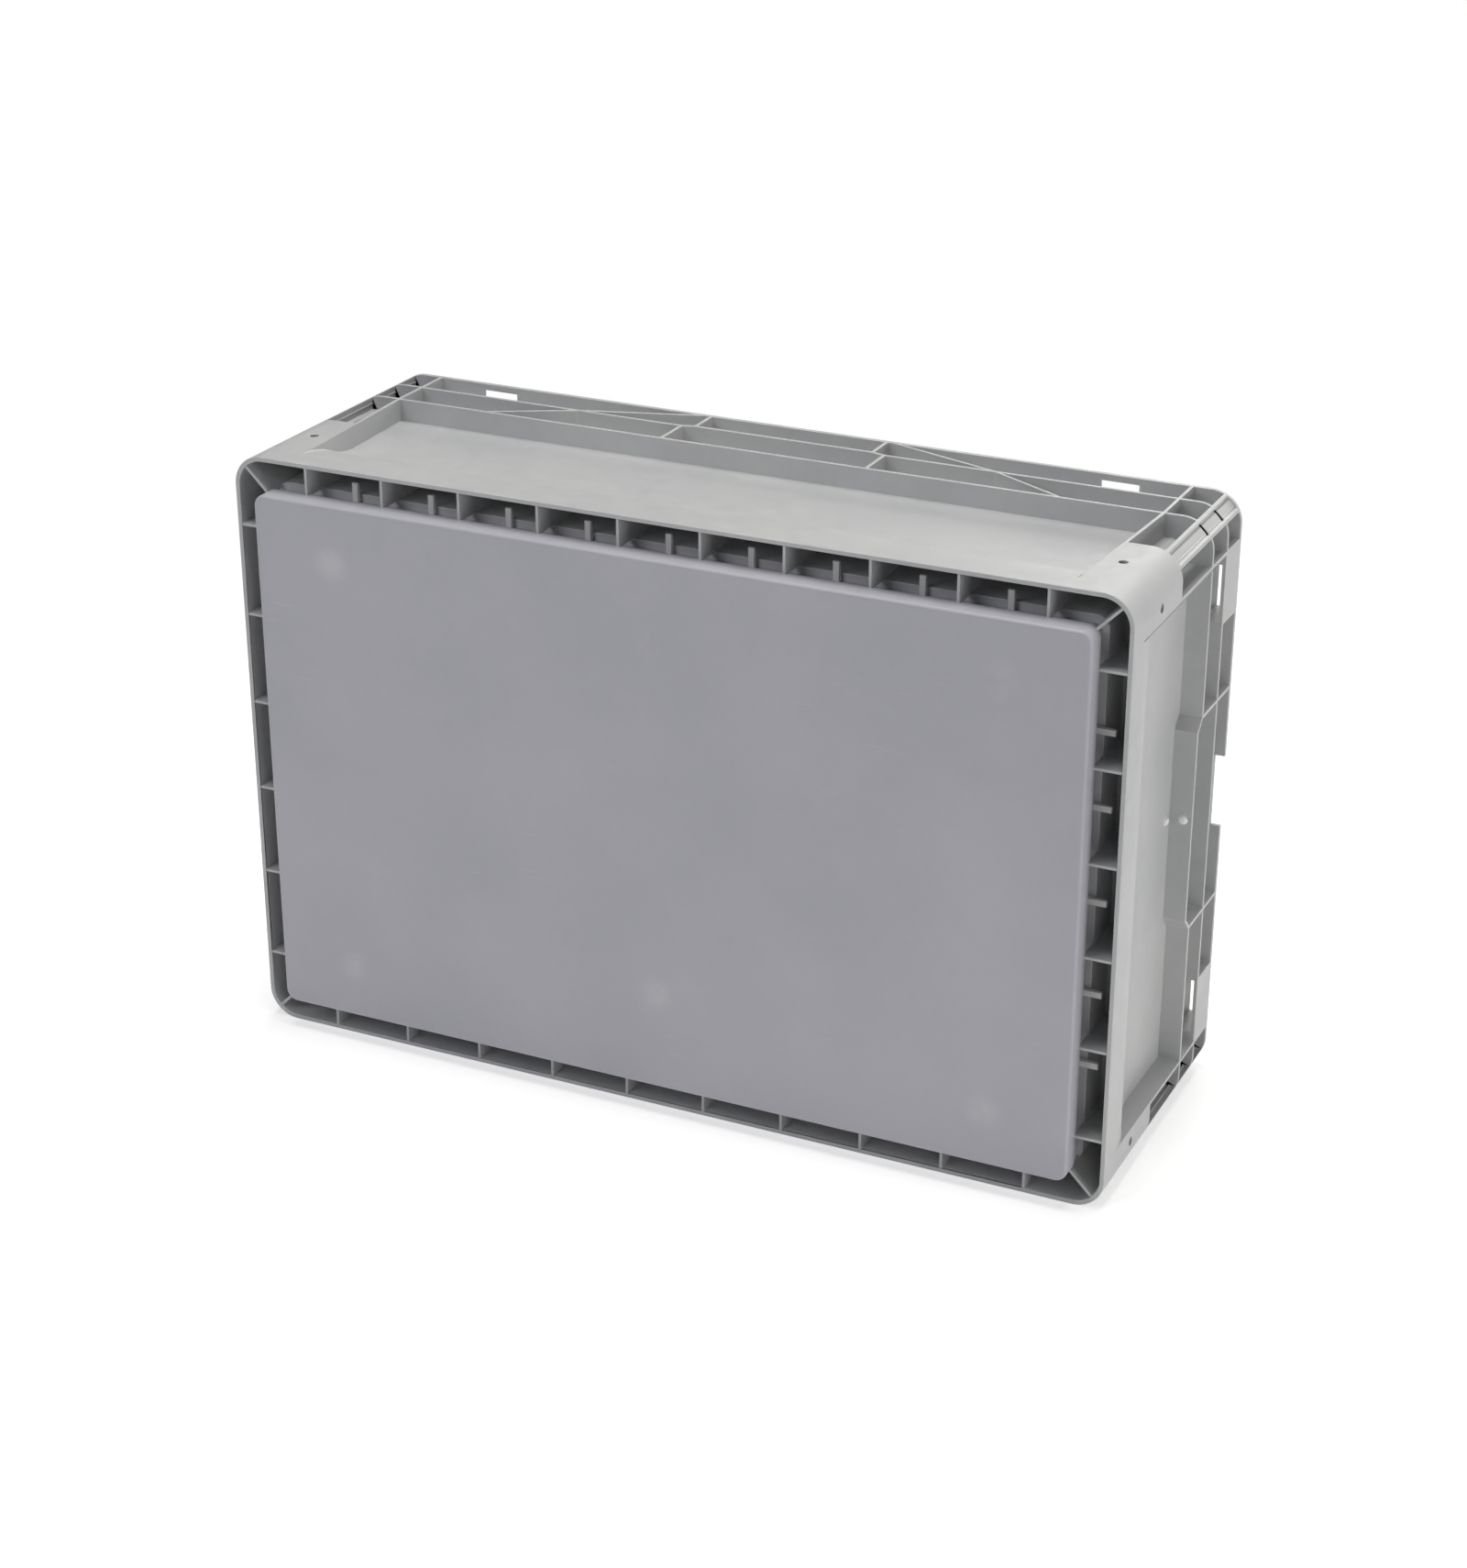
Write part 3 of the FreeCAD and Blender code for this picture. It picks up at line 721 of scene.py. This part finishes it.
def paintKnobHighlights(piece):
    # paints the small faces round each knob pale through a slot of their own: a painted highlight
    rises, radii = zip(*endSide["knobShape"])
    near = max(radii) + max(rises)
    for points, faces in onSides([([place], []) for place in knobPlaces()], shortSides):
        centre = layDown(points[0])
        for polygon in piece.data.polygons:
            small = polygon.area * metre ** 2 < endSide["knobFace"]
            if small and (polygon.center - centre).length * metre < near:
                polygon.material_index = materialSlots.index("knob")


pieces = bodyPieces()
# the knobs on the ends get a painted highlight
for name in shortSides:
    paintKnobHighlights(pieces[name + "Rim"])
bpy.data.objects.remove(shell)
print("moulding cut into", len(pieces), "pieces")


# Second floor, a tray welded under the first, and the guide nibs on its neck
tray = {
    "edge": 2.0,              # rounding of its lower edge
    "edgeSteps": 5,
    "lip": 15.0,              # height where its side steps in to the neck
    "step": 5.0,              # depth of that step
    "neckRadius": 5.0,
    "longRib": 60.5,          # places of the two long ribs closed in under the floor
    "bays": 2,                # bays of the channel between two cross ribs
    # places of the mould's gates in the frame, as (x, z)
    "gates": ((-222, 338), (222, 338), (0, 324), (-222, 57), (222, 57), (0, 86)),
}
neck = foot + tray["step"]
nibs = {
    "wide": 4.4,
    "reach": 8.0,             # past the foot's side
    "low": 25.5,
    "tipHigh": 2.0,
    "high": 3.5,
    "longCount": 9,
    "endPlaces": (-108.5, -60.5, 0.0, 60.5, 108.5),
}


def baseTray():
    edge, radius, thin = tray["edge"], wall["footRadius"], tray["neckRadius"]
    profile = []
    for step in range(tray["edgeSteps"] + 1):
        turn = math.radians(90 * step / tray["edgeSteps"])
        inward = edge * (1 - math.sin(turn))
        profile.append((foot + inward, radius - inward, edge * (1 - math.cos(turn))))
    profile += [(foot, radius, tray["lip"]), (neck, thin, tray["lip"]),
                (neck, thin, wall["weldHeight"]), (neck + skin, thin - skin, wall["weldHeight"]),
                (neck + skin, thin - skin, skin)]
    solids = []
    endX, endY = halfLength - neck - skin / 2, halfWidth - neck - skin / 2
    for x in spread(skirt["longCount"] // tray["bays"], skirt["longPitch"] * tray["bays"]):
        solids.append(block(x - rib / 2, x + rib / 2, -endY, endY, skin / 2, wall["weldHeight"]))
    for y in (-tray["longRib"], tray["longRib"]):
        solids.append(block(-endX, endX, y - rib / 2, y + rib / 2, skin / 2, wall["weldHeight"]))
    return workOn(looseObject("baseTray", bowl(profile)), solids, "UNION")


def nib(s):
    tip, low = foot - nibs["reach"], nibs["low"]
    outline = [(neck, low), (tip, low), (tip, low + nibs["tipHigh"]), (neck, low + nibs["high"])]
    return prism(outline, 0, s - nibs["wide"] / 2, s + nibs["wide"] / 2)


def guideNibs():
    placed = onSides([nib(s) for s in spread(nibs["longCount"], skirt["longPitch"])], longSides)
    placed += onSides([nib(s) for s in nibs["endPlaces"]], shortSides)
    points, faces = [], []
    for solidPoints, solidFaces in placed:
        faces += [[index + len(points) for index in face] for face in solidFaces]
        points += solidPoints
    made = looseObject("guideNibs", (points, faces))
    scene.collection.objects.link(made)
    return made


pieces["baseTray"] = baseTray()
pieces["guideNibs"] = guideNibs()
for name in ("baseTray", "guideNibs"):
    tidyFaces(pieces[name])
    roundEdges(pieces[name])
print("tray and nibs made")

# What each piece stands for
sideNodes = {
    "lowerSide": "lower_side",
    "upperSide": "upper_side",
    "rightEnd": "right_end",
    "leftEnd": "left_end",
}
cornerNodes = {
    "lowerRight": "lower_right",
    "lowerLeft": "lower_left",
    "upperRight": "upper_right",
    "upperLeft": "upper_left",
}
standsFor = {"innerFloor": ["inner_floor"], "baseTray": ["base_tray"], "guideNibs": ["guide_nibs"]}
for side, node in sideNodes.items():
    standsFor[side + "Foot"] = [node + "_skirt", "channel_ribs"]
    standsFor[side + "Wall"] = [node + "_wall"]
    standsFor[side + "Rim"] = [node + "_rim", node + "_flanges", node + "_ribs"]
for corner, node in cornerNodes.items():
    standsFor[corner + "Corner"] = [node + "_wall_bend", node + "_corner_post"]


# Materials

def linear(hexColour):
    # sRGB hex to linear
    channels = [int(hexColour[start:start + 2], 16) / 255 for start in (1, 3, 5)]
    return [c / 12.92 if c <= 0.04045 else ((c + 0.055) / 1.055) ** 2.4 for c in channels] + [1.0]


def addNode(tree, kind, settings, links):
    # settings name a property or a socket of the node; links give a socket its source
    node = tree.nodes.new("ShaderNode" + kind)
    for name, value in settings.items():
        if isinstance(name, int) or name in node.inputs:
            node.inputs[name].default_value = value
        else:
            setattr(node, name, value)
    for name, source in links.items():
        tree.links.new(source, node.inputs[name])
    return node


def spanFrom(limits):
    return {"From Min": limits[0], "From Max": limits[1]}


polypropylene = {
    # injection-moulded polypropylene copolymer, grey: a soft, slightly waxy sheen with a fine
    # spark-eroded grain, cloudy where the melt met, smoother on its edges, and painted paler there
    # as a highlight
    "face": ("#c3c4c3", "#bbbcbd"),       # pale and deep tones of the clouds
    "tray": ("#bbbbc1", "#b5b5bc"),
    "nib": ("#f4f4f1", "#ebebe8"),        # plastic gone white, and brightened further as a painted highlight
    # paler tones of the rounded edges: a painted highlight
    "edge": ("#cfd0ce", "#bfc0bf"),
    "roughness": (0.38, 0.52),
    "edgeRoughness": (0.28, 0.42),
    "ior": 1.49,
    "cloudSize": 120.0,       # mm, clouds left by the flow of the melt
    "cloudSpan": (0.5, 0.8),  # stretch of the noise between the deep and the pale tone
    "cloudBump": (0.35, 0.002),           # strength, and height in metres
    "mottleSize": 9.0,        # mm
    "mottleShare": 0.3,
    "mottleSpan": (0.35, 0.65),
    "grainSize": 1.1,         # mm; the real grain is about 0.1 mm and wouldn't show
    "grainBump": (0.10, 0.0004),
    "scuff": "#dcdcda",
    "scuffSize": 34.0,        # mm
    "scuffSpan": (0.55, 0.7),
    "streakScale": (0.02, 0.5, 0.35),     # streaks in a mm, so each is long along one axis
    "streakTurn": (0.2, 0.5, 0.3),        # radians
    "streakSpan": (0.66, 0.74),
    "scuffShare": 0.25,       # how far a scuff goes to its own colour
    "scuffRougher": 0.12,
    "gate": "#d2d3d4",
    "gateSpan": (16.0, 2.0),  # mm from the gate where its bloom starts and where it is full
    "gateShare": 0.5,
}


def mouldedPolypropylene(name, tones, roughness, gates=()):
    material = bpy.data.materials.new(name)
    material.use_nodes = True
    tree = material.node_tree
    tree.nodes.clear()
    values = polypropylene
    pale, deep = tones
    place = addNode(tree, "TexCoord", {}, {}).outputs["Object"]
    millimetres = addNode(tree, "VectorMath", {"operation": "SCALE", "Scale": metre},
                          {0: place}).outputs[0]
    at = {"Vector": millimetres}
    cloud = addNode(tree, "TexNoise",
                    {"Scale": 1 / values["cloudSize"], "Detail": 3.0, "Roughness": 0.55},
                    at).outputs[0]
    mottle = addNode(tree, "TexNoise",
                     {"Scale": 1 / values["mottleSize"], "Detail": 4.0, "Roughness": 0.6},
                     at).outputs[0]
    blend = addNode(tree, "Math", {"operation": "MULTIPLY_ADD", 1: values["mottleShare"]},
                    {0: mottle, 2: cloud}).outputs[0]
    tone = addNode(tree, "MapRange", spanFrom(values["cloudSpan"]), {"Value": blend}).outputs[0]
    colour = addNode(tree, "Mix", {"data_type": "RGBA", 6: linear(deep), 7: linear(pale)},
                     {0: tone}).outputs[2]

    # scuffs: short pale rubs, in patches
    stretched = addNode(tree, "Mapping",
                        {"Scale": values["streakScale"], "Rotation": values["streakTurn"]},
                        at).outputs[0]
    streak = addNode(tree, "TexNoise", {"Scale": 1.0, "Detail": 2.0},
                     {"Vector": stretched}).outputs[0]
    patch = addNode(tree, "TexNoise", {"Scale": 1 / values["scuffSize"], "Detail": 1.0},
                    at).outputs[0]
    streakMask = addNode(tree, "MapRange", spanFrom(values["streakSpan"]),
                         {"Value": streak}).outputs[0]
    patchMask = addNode(tree, "MapRange", spanFrom(values["scuffSpan"]),
                        {"Value": patch}).outputs[0]
    scuff = addNode(tree, "Math", {"operation": "MULTIPLY"},
                    {0: streakMask, 1: patchMask}).outputs[0]
    scuffShare = addNode(tree, "Math", {"operation": "MULTIPLY", 1: values["scuffShare"]},
                         {0: scuff}).outputs[0]
    colour = addNode(tree, "Mix", {"data_type": "RGBA", 7: linear(values["scuff"])},
                     {0: scuffShare, 6: colour}).outputs[2]

    for gate in gates:
        # the melt left each gate as a small pale bloom
        away = addNode(tree, "VectorMath", {"operation": "DISTANCE", 1: gate},
                       {0: millimetres}).outputs["Value"]
        bloom = addNode(tree, "MapRange", {**spanFrom(values["gateSpan"]),
                                           "To Max": values["gateShare"],
                                           "interpolation_type": "SMOOTHSTEP"},
                        {"Value": away}).outputs[0]
        torn = addNode(tree, "Math", {"operation": "MULTIPLY"}, {0: bloom, 1: tone}).outputs[0]
        colour = addNode(tree, "Mix", {"data_type": "RGBA", 7: linear(values["gate"])},
                         {0: torn, 6: colour}).outputs[2]

    rough = addNode(tree, "MapRange", {**spanFrom(values["mottleSpan"]), "To Min": roughness[0],
                                       "To Max": roughness[1]}, {"Value": mottle}).outputs[0]
    rough = addNode(tree, "Math", {"operation": "MULTIPLY_ADD", 1: values["scuffRougher"]},
                    {0: scuff, 2: rough}).outputs[0]
    grain = addNode(tree, "TexNoise",
                    {"Scale": 1 / values["grainSize"], "Detail": 2.0, "Roughness": 0.5},
                    at).outputs[0]
    strength, distance = values["grainBump"]
    fine = addNode(tree, "Bump", {"Strength": strength, "Distance": distance},
                   {"Height": grain}).outputs[0]
    strength, distance = values["cloudBump"]
    sink = addNode(tree, "Bump", {"Strength": strength, "Distance": distance},
                   {"Height": cloud, "Normal": fine}).outputs[0]
    shader = addNode(tree, "BsdfPrincipled", {"IOR": values["ior"]},
                     {"Base Color": colour, "Roughness": rough, "Normal": sink}).outputs[0]
    addNode(tree, "OutputMaterial", {}, {"Surface": shader})
    return material


gatePlaces = [(x, -height / 2, z) for x, z in tray["gates"]]
roughness, edgeRoughness = polypropylene["roughness"], polypropylene["edgeRoughness"]
face = mouldedPolypropylene("mouldedPolypropylene", polypropylene["face"], roughness)
trayFace = mouldedPolypropylene("mouldedPolypropyleneTray", polypropylene["tray"], roughness,
                                gatePlaces)
# pale nibs are whitened plastic brightened as a painted highlight; on the knobs this material is a
# painted highlight
nibAndKnobHighlight = mouldedPolypropylene("paleNibAndKnobPaintedHighlight", polypropylene["nib"], edgeRoughness)
edgeHighlightFace = mouldedPolypropylene("paintedHighlightPolypropyleneEdge", polypropylene["edge"], edgeRoughness)

trayPieces = {"baseTray": trayFace, "guideNibs": nibAndKnobHighlight}
for name, piece in pieces.items():
    kept = [polygon.material_index for polygon in piece.data.polygons]
    piece.data.materials.clear()
    for material in (trayPieces.get(name, face), edgeHighlightFace, nibAndKnobHighlight):
        piece.data.materials.append(material)
    piece.data.polygons.foreach_set("material_index", kept)
    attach(piece, "root")
    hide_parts(*standsFor[name])
print("materials given to", len(pieces), "pieces")


# Floor, light and camera
studio = {
    "floorSize": 12.0,        # metres
    "floorColour": "#f4f4f3",
    "fadeSpan": (0.55, 1.3),  # metres from the box where the floor starts to fade, and is white
    "floorLift": 0.5,
    "worldColour": "#f2f4f8",
    "worldStrength": 0.04,
    "white": (1.0, 1.0, 1.0, 1.0),
    "softboxSize": 1.2,       # metres
    "softboxesFace": (0.0, 0.0, 0.2),     # metres
}


def addFloor():
    bpy.ops.mesh.primitive_plane_add(size=studio["floorSize"])
    floor = bpy.context.object
    floor.name = "floor"
    material = bpy.data.materials.new("paleFloor")
    material.use_nodes = True
    tree = material.node_tree
    tree.nodes.clear()
    place = addNode(tree, "TexCoord", {}, {}).outputs["Object"]
    away = addNode(tree, "VectorMath", {"operation": "LENGTH"}, {0: place}).outputs["Value"]
    fade = addNode(tree, "MapRange", {**spanFrom(studio["fadeSpan"]),
                                      "interpolation_type": "SMOOTHSTEP"},
                   {"Value": away}).outputs[0]
    path = addNode(tree, "LightPath", {}, {})
    seen = addNode(tree, "Math", {"operation": "ADD", "use_clamp": True},
                   {0: path.outputs["Is Camera Ray"], 1: path.outputs["Is Glossy Ray"]}).outputs[0]
    share = addNode(tree, "Math", {"operation": "MULTIPLY"}, {0: fade, 1: seen}).outputs[0]
    matt = addNode(tree, "BsdfDiffuse", {"Color": linear(studio["floorColour"])}, {}).outputs[0]
    # the floor glows for the camera and in reflections, so that it reads as white and keeps
    # its shadow, but it lights nothing by that
    lift = addNode(tree, "Math", {"operation": "MULTIPLY", 1: studio["floorLift"]},
                   {0: seen}).outputs[0]
    glow = addNode(tree, "Emission", {"Color": studio["white"]}, {"Strength": lift}).outputs[0]
    lifted = addNode(tree, "AddShader", {}, {0: matt, 1: glow}).outputs[0]
    white = addNode(tree, "Emission", {"Color": studio["white"], "Strength": 1.0}, {}).outputs[0]
    mixed = addNode(tree, "MixShader", {}, {0: share, 1: lifted, 2: white}).outputs[0]
    addNode(tree, "OutputMaterial", {}, {"Surface": mixed})
    floor.data.materials.append(material)


def addWorld():
    # white to the eye, but a faint sky to the box
    world = bpy.data.worlds.new("studio")
    world.use_nodes = True
    scene.world = world
    tree = world.node_tree
    tree.nodes.clear()
    rays = addNode(tree, "LightPath", {}, {}).outputs
    seen = addNode(tree, "Math", {"operation": "ADD", "use_clamp": True},
                   {0: rays["Is Camera Ray"], 1: rays["Is Transmission Ray"]}).outputs[0]
    dim = addNode(tree, "Background", {"Color": linear(studio["worldColour"]),
                                       "Strength": studio["worldStrength"]}, {}).outputs[0]
    white = addNode(tree, "Background", {"Color": studio["white"], "Strength": 1.0}, {}).outputs[0]
    mixed = addNode(tree, "MixShader", {}, {0: seen, 1: dim, 2: white}).outputs[0]
    addNode(tree, "OutputWorld", {}, {"Surface": mixed})


softboxes = {
    # place in metres, power in watts, colour
    "keyAbove": ((0.0, 0.0, 2.6), 39.0, "#fffefb"),
    "sideRight": ((2.39, -0.21, 0.33), 22.0, "#ffffff"),
    "backMiddle": ((0.0, 2.175, 1.214), 16.5, "#fffefb"),
    "backLow": ((0.612, 2.283, 0.617), 10.0, "#fffefb"),
    "fillFront": ((-0.92, -1.74, 1.58), 13.5, "#f6f6ff"),
    "fillRight": ((1.25, -1.95, 0.75), 3.5, "#fbfbff"),
}


def addSoftbox(name, place, power, colour):
    light = bpy.data.lights.new(name, "AREA")
    light.shape = "SQUARE"
    light.size = studio["softboxSize"]
    light.energy = power
    light.color = linear(colour)[:3]
    lamp = bpy.data.objects.new(name, light)
    scene.collection.objects.link(lamp)
    lamp.location = place
    towards = Vector(studio["softboxesFace"]) - Vector(place)
    lamp.rotation_euler = towards.to_track_quat("-Z", "Y").to_euler()


view = {
    # where the photo was taken from, found from the box's own edges in it
    "place": (0.78837, -1.63763, 0.99856),
    "turn": 24.478,           # degrees round the box from its base
    "rise": 24.285,
    "roll": 0.416,
    "focal": 3378.6,          # in pixels of the photo
    "middle": (860.0, 870.0),
    "photo": (1600, 1710),
    "sensor": 36.0,
    "reach": 50.0,            # metres
}


def addCamera():
    turn, rise, roll = (math.radians(view[key]) for key in ("turn", "rise", "roll"))
    flat = math.cos(rise)
    back = Vector((math.sin(turn) * flat, -math.cos(turn) * flat, math.sin(rise)))
    level = Vector((math.cos(turn), math.sin(turn), 0.0))
    right = math.cos(roll) * level + math.sin(roll) * back.cross(level)
    up = back.cross(right)
    camera = bpy.data.objects.new("camera", bpy.data.cameras.new("camera"))
    scene.collection.objects.link(camera)
    axes = Matrix((right, up, back)).transposed().to_4x4()
    camera.matrix_world = Matrix.Translation(view["place"]) @ axes
    wide, high = view["photo"]
    lens = camera.data
    lens.sensor_width = view["sensor"]
    lens.lens = view["focal"] * lens.sensor_width / high
    lens.shift_x = (wide / 2 - view["middle"][0]) / high
    lens.shift_y = (view["middle"][1] - high / 2) / high
    lens.clip_end = view["reach"]
    scene.camera = camera


addFloor()
addWorld()
for name, (place, power, colour) in softboxes.items():
    addSoftbox(name, place, power, colour)
addCamera()
scene.view_settings.view_transform = "Standard"
print("studio set")
